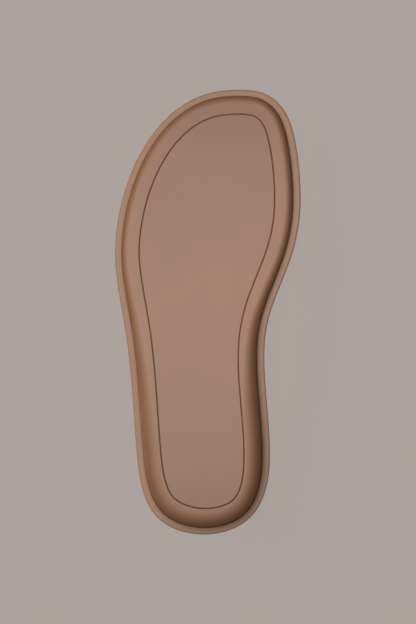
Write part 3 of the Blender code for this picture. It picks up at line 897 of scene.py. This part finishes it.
vamp = wall("vamp", band_surface, band_width, UPPER_WALL, BAND_ROWS,
            [upper_skin, edge_skin, lining_skin])
settle(vamp, "upper_leather", "vamp_band")
above_roots = slice(4, -4)
stitch_rows("vamp_stitches", "upper_leather",
            [row for place in EDGE_ROWS
             for row in both_faces(band_surface, band_width, *place, above_roots)])
print("vamp arch:", round(float(arch_length), 1), "mm")

# %% [markdown]
# ## Heel counter
# The counter wraps the heel. At the bottom it follows the footbed, at the top it
# follows the ankle, and in between it swells a little. So it is worked out as a
# distance from the ankle's axis: two radii blended by a smooth step, with half a sine
# wave added. Its upper edge falls from the back of the heel to the waist.

# %% Heel counter
ANKLE_X, ANKLE_Y = 56.0, -0.3
ANKLE_HALF_LENGTH, ANKLE_HALF_WIDTH, ANKLE_POWER = 46.0, 27.2, 2.3
COUNTER_INSET, COUNTER_BULGE, COUNTER_BLEND = 5.6, 1.4, 45.0
COUNTER_TOP, COUNTER_END = 61.0, 3.0
COUNTER_FROM, COUNTER_TO = 8.0, 95.0
COUNTER_STEPS, TURN_STEPS = 25, 64
COUNTER_COLUMNS, COUNTER_ROWS = 200, 40
BACK_SEAM_DEEP, BACK_SEAM_SPREAD, BACK_SEAM_REACH = 0.45, 0.5, 1.5
BACK_STITCH, BACK_ROW = 2.3, (0.32, 0.9)
SEWN_FROM = 14.0


def turn_angle(step):
    """Angle from the back of the heel, towards the medial side, of a turn step."""
    return 2.0 * np.pi * np.asarray(step) / TURN_STEPS


def ankle_radius(angle):
    """Distance from the ankle's axis to the strap's line: a superellipse."""
    power = ANKLE_POWER
    return (np.abs(np.cos(angle) / ANKLE_HALF_LENGTH)**power
            + np.abs(np.sin(angle) / ANKLE_HALF_WIDTH)**power)**(-1.0 / power)


def heel_radius(angle):
    """Distance from the ankle's axis to the foot of the heel counter."""
    plan = OUTLINE - OUTWARD * COUNTER_INSET
    plan = plan[plan[:, 0] < WEDGE_TO]
    turned = np.arctan2(plan[:, 1] - ANKLE_Y, ANKLE_X - plan[:, 0])
    order = np.argsort(turned)
    reach = np.hypot(plan[:, 0] - ANKLE_X, plan[:, 1] - ANKLE_Y)
    return np.interp(angle, turned[order], reach[order])


def around_ankle(angle, radius, height):
    """Points at an angle from the back of the heel and a distance from the axis."""
    return np.stack(np.broadcast_arrays(ANKLE_X - radius * np.cos(angle),
                                        ANKLE_Y + radius * np.sin(angle), height), axis=-1)


def counter_edge(angle):
    """Height of the upper edge over the footbed: a smooth step down to the waist."""
    x = ANKLE_X - heel_radius(angle) * np.cos(angle)
    share = smooth((x - COUNTER_FROM) / (COUNTER_TO - COUNTER_FROM))
    return COUNTER_TOP + (COUNTER_END - COUNTER_TOP) * share


def counter_at(share, angle):
    """Points of the counter, from its upper edge at share 0 down to its root at 1."""
    foot, top = heel_radius(angle), ankle_radius(angle)
    edge = counter_edge(angle)
    level = edge - share * (edge + ROOT_DEPTH)
    blend = smooth(level / COUNTER_BLEND)
    swell = COUNTER_BULGE * np.sin(np.pi * np.clip(level / COUNTER_BLEND, 0.0, 1.0))
    radius = foot + (top - foot) * blend + swell
    radius -= BACK_SEAM_DEEP * np.exp(-(radius * angle / BACK_SEAM_SPREAD)**2)
    height = bed_top(ANKLE_X - foot * np.cos(angle)) + level
    return around_ankle(angle, radius, height)


counter_end = float(turn_angle(COUNTER_STEPS))
counter_angle, _ = even_steps(lambda a: counter_at(0.5, a), -counter_end, counter_end,
                              COUNTER_COLUMNS)
beside_seam = BACK_SEAM_REACH * np.linspace(-1.0, 1.0, 17) / float(ankle_radius(0.0))
counter_angle = np.union1d(counter_angle[np.abs(counter_angle) > beside_seam[-1]], beside_seam)
counter_width = counter_edge(counter_angle) + ROOT_DEPTH


def counter_surface(share):
    """The counter's face on all its columns."""
    return counter_at(share, counter_angle)


counter = wall("counter", counter_surface, counter_width, UPPER_WALL, COUNTER_ROWS,
               [upper_skin, edge_skin, lining_skin])
settle(counter, "upper_leather", "heel_counter")
tall_enough = counter_width > SEWN_FROM
counter_seams = list(both_faces(counter_surface, counter_width, *EDGE_ROWS[0], tall_enough))
down = np.linspace(*BACK_ROW, 60)
for side in (-1.0, 1.0):
    angle = side * BACK_STITCH / float(ankle_radius(0.0))
    out = np.tile((-np.cos(angle), np.sin(angle), 0.0), (len(down), 1))
    counter_seams.append((counter_at(down, np.full(len(down), angle)), out))
stitch_rows("counter_stitches", "upper_leather", counter_seams)

# %% [markdown]
# ## Ankle strap
# The strap is the same kind of wall, carried right round the ankle: low at the back,
# where it is sewn over the counter, and high over the instep. Layers laid on it move
# outward along the superellipse's own gradient, so they keep an even thickness.

# %% Ankle strap
STRAP_WIDTH, STRAP_THICK = 15.0, 2.6
STRAP_BACK, STRAP_RISE = 55.0, 27.0
STRAP_OUTER = CLEARANCE + STRAP_THICK
STRAP_COLUMNS, STRAP_ROWS = 360, 10
SEWN_AT, ROW_GAP, SUNK = 21.0, 0.6, 0.05


def strap_outward(points):
    """Level directions away from the ankle's axis: the superellipse's gradient."""
    reach = (points - (ANKLE_X, ANKLE_Y, 0.0)) * (1.0, 1.0, 0.0)
    halves = np.array((ANKLE_HALF_LENGTH, ANKLE_HALF_WIDTH, 1.0))
    return unit(signed_power(reach, ANKLE_POWER - 1.0) / halves**ANKLE_POWER)


def strap_at(angle, across, outer):
    """Points of the strap: up by across and outward by outer from its line."""
    height = bed_top(HEEL_LIFT_TO) + STRAP_BACK + STRAP_RISE * (1.0 - np.cos(angle)) / 2.0
    line = around_ankle(angle, ankle_radius(angle), height + across)
    return line + np.asarray(outer)[..., None] * strap_outward(line)


strap_turn, strap_length = even_steps(lambda a: strap_at(a, 0.0, STRAP_OUTER),
                                      -np.pi, np.pi, STRAP_COLUMNS + 1)
strap_turn = strap_turn[:-1]
strap_width = np.full(STRAP_COLUMNS, STRAP_WIDTH)


def strap_surface(share):
    """The strap's face on all its columns, upper edge at share 0."""
    return strap_at(strap_turn + 0.0 * share, STRAP_WIDTH * (0.5 - share), STRAP_OUTER)


strap = wall("strap", strap_surface, strap_width, STRAP_THICK, STRAP_ROWS,
             [upper_skin, edge_skin, lining_skin], around=True)
settle(strap, "upper_leather", "ankle_strap")
strap_seams = [seam_on(strap_surface, strap_width, *place, True, SEAM_DIP) + (True,)
               for place in EDGE_ROWS]
print("strap round the ankle:", round(float(strap_length), 1), "mm")

# %% [markdown]
# ## Free end of the strap
# Past the buckle the strap's free end lies on the strap itself. It is drawn flat
# first, as a long plan with two round ends, and then wrapped on: the plan's length
# becomes distance along the strap, and its depth becomes the distance outward. In
# front of the buckle it thins out and sinks into the strap, as it rises from there.

# %% Strap end with its punched holes
END_WIDTH, END_THICK = 14.0, 2.2
END_OUTER = STRAP_OUTER + CLEARANCE + END_THICK
BUCKLE_TURN, END_TURN = -20.0, -9.0
TABLE_TURNS = (-30.0, -4.0)
END_START, END_CURVE, END_RAMP = -15.0, 6.0, 7.0
END_STITCH_IN, END_FACE, END_STEP, END_UNDER = 2.3, 3.8, 0.3, 0.5
END_ARC, END_RUN = 28, 46
HOLE_PITCH, HOLE_RADIUS, HOLES, HOLE_SIDES = 12.0, 0.95, 3, 20
PUNCH_UNDER, PUNCH_OVER = 0.2, 1.0

table_turn = turn_angle(np.linspace(*TABLE_TURNS, 800))
table_reach = length_along(strap_at(table_turn, 0.0, END_OUTER))
table_reach -= np.interp(turn_angle(BUCKLE_TURN), table_turn, table_reach)
END_TIP = float(np.interp(turn_angle(END_TURN), table_turn, table_reach))


def on_strap(reach, across, outer):
    """Points at a distance from the buckle towards the tip, up, and outward."""
    return strap_at(np.interp(reach, table_reach, table_turn), across, outer)


def end_plan(inset):
    """Plan of the strap's end moved inward: straight sides and two elliptic ends."""
    half, turn = END_WIDTH / 2.0, np.linspace(0.0, np.pi / 2.0, END_ARC)
    start = np.column_stack((END_START + END_CURVE * (1.0 - np.cos(turn)), half * np.sin(turn)))
    run = np.linspace(END_START + END_CURVE, END_TIP - END_CURVE, END_RUN)[1:-1]
    tip = np.column_stack((END_TIP - END_CURVE * (1.0 - np.cos(turn)), half * np.sin(turn)))
    upper = np.vstack((start, np.column_stack((run, np.full(len(run), half))), tip[::-1]))
    ring = np.vstack((upper, upper[-2:0:-1] * (1.0, -1.0)))
    tangent = np.roll(ring, -1, axis=0) - np.roll(ring, 1, axis=0)
    return ring - inset * unit(np.column_stack((-tangent[:, 1], tangent[:, 0])))


def end_points(plan, depth):
    """Wrap plan points onto the strap; depth is taken from the rising outer face."""
    rise = smooth((plan[:, 0] - END_START) / END_RAMP)
    start = STRAP_OUTER + CLEARANCE
    top = start + (END_OUTER - start) * rise
    low = np.maximum(top - END_THICK, STRAP_OUTER + SUNK)
    return on_strap(plan[:, 0], plan[:, 1], top - (top - low) * depth / END_THICK)


def end_rings():
    """Rings from the lining over the rounded edge to the stitched face."""
    edge = corner(EDGE_ROUND, LIP_STEPS)
    rings = [(EDGE_ROUND + END_UNDER, END_THICK)]
    rings += [(inset, END_THICK - drop) for inset, drop in reversed(edge)] + edge
    rings += [(inset, seam_dip(inset, END_STITCH_IN))
              for inset in np.arange(EDGE_ROUND + END_STEP, END_FACE, END_STEP)]
    return [end_points(end_plan(inset), depth) for inset, depth in rings]


def punch(piece, places):
    """Cut round holes through a strap with one Boolean, which is then applied."""
    turn = full_turn(HOLE_SIDES)
    punches = []
    for place in places:
        circle = (place + HOLE_RADIUS * np.cos(turn), HOLE_RADIUS * np.sin(turn))
        ends = np.array([on_strap(*circle, END_OUTER + lift)
                         for lift in (-END_THICK - PUNCH_UNDER, PUNCH_OVER)])
        index = numbered(ends)
        faces = grid_quads(index, round_rows=True).tolist()
        faces += [index[0, ::-1].tolist(), index[1].tolist()]
        punches.append((ends.reshape(-1, 3), faces))
    points, faces = joined(punches)
    cutter = add_mesh("punch", points, faces, list(piece.data.materials))
    cutter.data.polygons.foreach_set("material_index", np.ones(len(faces), np.int32))
    cut_out = piece.modifiers.new("holes", "BOOLEAN")
    cut_out.operation, cut_out.object = "DIFFERENCE", cutter
    bpy.context.view_layer.update()
    graph = bpy.context.evaluated_depsgraph_get()
    piece.data = bpy.data.meshes.new_from_object(piece.evaluated_get(graph))
    piece.modifiers.clear()
    bpy.data.objects.remove(cutter)


strap_end = add_mesh("strap_tip", *closed_loft(end_rings()), [upper_skin, edge_skin])
punch(strap_end, [HOLE_PITCH * number for number in range(HOLES)])
settle(strap_end, "upper_leather", "strap_end")

end_line = end_points(end_plan(END_STITCH_IN), SEAM_DIP)
strap_seams.append((end_line, strap_outward(end_line), True))
across = np.linspace(-1.0, 1.0, 30) * (STRAP_WIDTH / 2.0 - SEAM_IN - ROW_GAP)
for reach in (-SEWN_AT, SEWN_AT):
    turn = np.full(len(across), 2.0 * np.pi * reach / strap_length)
    column = strap_at(turn, across, STRAP_OUTER - SUNK)
    strap_seams.append((column, strap_outward(column)))
stitch_rows("strap_stitches", "upper_leather", strap_seams)
print("strap end from the buckle to its tip:", round(END_TIP, 1), "mm")

# %% [markdown]
# ## Buckle
# The buckle is cast: a rounded frame, a little squarer in section than a wire, whose
# bars cross over the strap. The prong comes up through a hole from a bar that the
# strap hides, and rests on the front bar, pointing to where the strap comes from.

# %% Buckle frame and prong
BUCKLE_LONG, BUCKLE_TALL, BUCKLE_CORNER, BUCKLE_WIRE = 17.0, 21.5, 3.5, 1.2
PRONG_RADIUS, PRONG_ROOT, PRONG_PAST = 0.85, 1.4, 1.1
PRONG_FLAT, PRONG_RISE_FROM = 0.9, 0.5
PRONG_DIVE, PRONG_DIVE_FROM = 2.2, 0.2
PRONG_TAPER, PRONG_TIP, PRONG_BLUNT = 0.25, 0.07, 0.02
PRONG_STEPS, PRONG_SIDES, PRONG_OVAL = 48, 18, 0.85
FRAME_POWER, PRONG_POWER = 2.9, 2.4
SIDE_CURVE = ANKLE_HALF_LENGTH**2 / ANKLE_HALF_WIDTH


def strap_axes(turn_step):
    """Origin and axes on the strap's outside: along to the tip, up and outward."""
    turns = turn_angle(np.array((turn_step - 0.5, turn_step, turn_step + 0.5)))
    before, here, after = strap_at(turns, 0.0, END_OUTER)
    along = unit(after - before)
    outward = unit(np.cross((0.0, 0.0, 1.0), along))
    return here, np.array((along, np.cross(along, outward), outward))


def rounded_rectangle(long, tall, radius, arc_steps, side_steps):
    """Closed path of a rectangle with round corners, with points on its sides too."""
    turn = np.linspace(0.0, np.pi / 2.0, arc_steps)
    path = []
    for quarter, (x_side, y_side) in enumerate(((1, 1), (-1, 1), (-1, -1), (1, -1))):
        angle = turn + quarter * np.pi / 2.0
        path.append(np.column_stack((x_side * (long / 2.0 - radius) + radius * np.cos(angle),
                                     y_side * (tall / 2.0 - radius) + radius * np.sin(angle))))
    blocks = []
    for arc, following in zip(path, path[1:] + path[:1]):
        share = np.linspace(0.0, 1.0, side_steps + 2)[1:-1, None]
        blocks += [arc, arc[-1] * (1.0 - share) + following[0] * share]
    return np.vstack(blocks)


def squarish(half_side, half_up, power, count):
    """Section loop between an ellipse and a rectangle: a superellipse."""
    turn = full_turn(count)
    return np.column_stack((half_side * signed_power(np.cos(turn), 2.0 / power),
                            half_up * signed_power(np.sin(turn), 2.0 / power)))


def sweep(path, up, section, scale=1.0, closed=False):
    """Points and faces of a section carried along a path, its second axis near up."""
    run = np.gradient(path, axis=0)
    if closed:
        run = np.roll(path, -1, axis=0) - np.roll(path, 1, axis=0)
    side = unit(np.cross(run, up))
    rise = unit(np.cross(side, run))
    size = np.broadcast_to(scale, len(path))[:, None, None]
    points = path[:, None] + size * (section[None, :, :1] * side[:, None]
                                     + section[None, :, 1:] * rise[:, None])
    index = numbered(points)
    faces = grid_quads(index, round_rows=True, round_columns=closed).tolist()
    if not closed:
        faces += [index[0].tolist(), index[-1][::-1].tolist()]
    return points.reshape(-1, 3), faces


brass = Finish("brushed_brass")
brushed = brass.pattern("ShaderNodeMapping", Scale=(900.0, 900.0, 9000.0)).outputs["Vector"]
brush = brass.noise(scale=1.0, detail=3.0, place=brushed)
tarnish = brass.blend(brush, linear((204, 170, 112)), linear((222, 192, 140)))
brass.wear(Base_Color=tarnish, Metallic=1.0)
brass.uneven(brush, low=0.2, high=0.36)
brass.relief(brush, strength=0.25, distance=0.00002)

origin, axes_here = strap_axes(BUCKLE_TURN)
plan = rounded_rectangle(BUCKLE_LONG - 2.0 * BUCKLE_WIRE, BUCKLE_TALL - 2.0 * BUCKLE_WIRE,
                         BUCKLE_CORNER, 12, 6)
lift = BUCKLE_WIRE + CLEARANCE - plan[:, 0]**2 / (2.0 * SIDE_CURVE)
frame_path = origin + np.column_stack((plan, lift)) @ axes_here
wire = squarish(BUCKLE_WIRE, BUCKLE_WIRE, FRAME_POWER, 24)
buckle = add_mesh("buckle_bow", *sweep(frame_path, axes_here[2], wire, closed=True), [brass.material])
settle(buckle, "buckle_metal", "buckle_frame")

bar_at = BUCKLE_LONG / 2.0 - BUCKLE_WIRE
along = np.linspace(PRONG_ROOT, -bar_at - PRONG_PAST, PRONG_STEPS)
low = PRONG_RADIUS * PRONG_FLAT
over = 2.0 * BUCKLE_WIRE + CLEARANCE - bar_at**2 / (2.0 * SIDE_CURVE) + PRONG_RADIUS
height = low + (over - low) * smooth((PRONG_RISE_FROM - along) / (PRONG_RISE_FROM + bar_at))
dive = np.maximum((along - PRONG_DIVE_FROM) / (PRONG_ROOT - PRONG_DIVE_FROM), 0.0)
height -= PRONG_DIVE * dive**2
prong_path = origin + np.column_stack((along, 0.0 * along, height)) @ axes_here
share = np.linspace(0.0, 1.0, PRONG_STEPS)
past = np.clip((share - 1.0 + PRONG_TIP) / PRONG_TIP, 0.0, 1.0)
taper = (1.0 - PRONG_TAPER * share) * np.sqrt(np.maximum(1.0 - past**2, PRONG_BLUNT))
oval = squarish(PRONG_RADIUS, PRONG_RADIUS * PRONG_OVAL, PRONG_POWER, PRONG_SIDES)
prong = add_mesh("buckle_tongue", *sweep(prong_path, axes_here[2], oval, taper), [brass.material])
settle(prong, "buckle_metal", "buckle_prong")

# %% [markdown]
# ## Keeper
# A small loop of leather keeps the free end down. It is one strip round both layers,
# so it is swept as a flat section round a rounded rectangle. Two creased lines run
# beside its edges, as a heated tool leaves them.

# %% Keeper loop
KEEPER_TURN = -14.0
KEEPER_WIDTH, KEEPER_WALL, KEEPER_CORNER = 6.0, 1.2, 1.6
KEEPER_POWER, KEEPER_SIDES = 5.0, 96
CREASE_IN, CREASE_DEEP, CREASE_SPREAD = 1.0, 0.16, 0.2

origin, axes_here = strap_axes(KEEPER_TURN)
deep = END_THICK + STRAP_THICK + 3.0 * CLEARANCE + KEEPER_WALL
tall = STRAP_WIDTH + 2.0 * CLEARANCE + KEEPER_WALL
loop = rounded_rectangle(deep, tall, KEEPER_CORNER - KEEPER_WALL / 2.0, 10, 12)
middle = CLEARANCE + KEEPER_WALL / 2.0 - deep / 2.0
keeper_path = origin + np.column_stack((0.0 * loop[:, 0], loop[:, 1], loop[:, 0] + middle)) @ axes_here
section = squarish(KEEPER_WALL / 2.0, KEEPER_WIDTH / 2.0, KEEPER_POWER, KEEPER_SIDES)
beside = np.abs(section[:, 1]) - KEEPER_WIDTH / 2.0 + CREASE_IN
crease = CREASE_DEEP * np.exp(-(beside / CREASE_SPREAD)**2)
section[:, 0] -= np.sign(section[:, 0]) * crease
keeper = add_mesh("keeper", *sweep(keeper_path, axes_here[0], section, closed=True), [upper_skin])
mark(keeper, "burnish_and_shade_tint", np.tile(np.abs(section[:, 1] / KEEPER_WIDTH * 2.0)**6 + 2.0 * crease,
                                len(keeper_path)))
settle(keeper, "upper_leather", "keeper_loop")

# %% [markdown]
# ## Camera
# The photograph looks straight at the tread through a long lens, with the toe at the
# top of the frame. The camera therefore looks along the shoe's own upward axis and is
# rolled until the toe points up in the picture.

# %% Camera square to the tread
CAMERA_DISTANCE = 2600.0
AIM = (125.2, 2.5, 18.0)
FIELD_HEIGHT = 350.4
SENSOR = 36.0
NEAREST, FARTHEST = 0.1, 200.0

lens = bpy.data.cameras.new("camera")
lens.sensor_width = SENSOR
lens.lens = SENSOR * CAMERA_DISTANCE / FIELD_HEIGHT
lens.clip_start, lens.clip_end = NEAREST, FARTHEST
camera = in_scene("camera", lens)
bpy.context.scene.camera = camera
axes = Matrix((direction((0, 1, 0)), direction((1, 0, 0)), direction((0, 0, -1)))).transposed()
camera.matrix_world = axes.to_4x4()
camera.location = to_world([np.array(AIM) - (0.0, 0.0, CAMERA_DISTANCE)])[0]
print("camera at", [round(v, 3) for v in camera.location], "lens", round(lens.lens), "mm")

# %% [markdown]
# ## Floor and room
# A pale seamless floor runs out of sight. The photograph's ground is one even tone,
# so the floor glows by itself, and shadows on it stay faint. The camera sees the whole
# glow. The sandal gets a sixth of it, or its lower side would be lit too much from
# below. The room gives a weak light from all round.

# %% Floor and world
BACKDROP = (171, 162, 157)
FLOOR_SIZE = 60.0
FLOOR_GLOW, FLOOR_FILL = 0.945, 0.17
FLOOR_SHARE, FLOOR_UNSEEN = 0.1, 0.3
ROOM_LIGHT, ROOM_WHITE = 0.17, (1.0, 0.98, 0.96)

floor_mesh = bpy.data.meshes.new("floor")
half = FLOOR_SIZE / 2.0
floor_mesh.from_pydata([(-half, -half, 0), (half, -half, 0), (half, half, 0), (-half, half, 0)],
                       [], [(0, 1, 2, 3)])
floor = in_scene("floor", floor_mesh)
paint = Finish("floor_paint")
in_view = paint.node("ShaderNodeLightPath").outputs["Is Camera Ray"]
ground = linear(BACKDROP)
paint.wear(Base_Color=paint.blend(in_view, ground * FLOOR_UNSEEN, ground * FLOOR_SHARE),
           Emission_Color=paint.blend(in_view, ground * FLOOR_FILL, ground),
           Emission_Strength=FLOOR_GLOW, Roughness=0.9, Specular_IOR_Level=0.0)
floor_mesh.materials.append(paint.material)

world = bpy.data.worlds.new("room")
bpy.context.scene.world = world
world.use_nodes = True
sky = world.node_tree
sky.nodes.clear()
room, seen, path, pick, result = (
    sky.nodes.new("ShaderNode" + kind)
    for kind in ("Background", "Background", "LightPath", "MixShader", "OutputWorld"))
room.inputs["Color"].default_value = (*ROOM_WHITE, 1.0)
room.inputs["Strength"].default_value = ROOM_LIGHT
seen.inputs["Color"].default_value = (*linear(BACKDROP), 1.0)
for number, source in enumerate((path.outputs["Is Camera Ray"], room.outputs[0], seen.outputs[0])):
    sky.links.new(source, pick.inputs[number])
sky.links.new(pick.outputs[0], result.inputs["Surface"])

# %% [markdown]
# ## Lamps
# The key is one broad soft light in front of the tread, a little towards the lateral
# side and the toe, so the walls on the other side turn dark. A second light comes from
# behind, low over the floor. The rim hides it from the sole, and from the other side
# it shows the upper.

# %% Key and back light
KEY_POWER, KEY_SOFT_DEG = 2.54, 45.0
KEY_TOWARDS = (0.146, -0.187, -1.0)
BACK_POWER, BACK_SOFT_DEG = 2.0, 30.0
BACK_TOWARDS = (0.15, 1.0, 0.28)


def add_sun(name, power, towards, soft_degrees):
    """A distant lamp whose light comes from the given world direction."""
    lamp = bpy.data.lights.new(name, "SUN")
    lamp.energy, lamp.angle = power, math.radians(soft_degrees)
    holder = in_scene(name, lamp)
    holder.rotation_mode = "QUATERNION"
    holder.rotation_quaternion = Vector(towards).to_track_quat("Z", "Y")


add_sun("key", KEY_POWER, direction(KEY_TOWARDS), KEY_SOFT_DEG)
add_sun("back", BACK_POWER, BACK_TOWARDS, BACK_SOFT_DEG)
bpy.context.scene.view_settings.view_transform = "Standard"
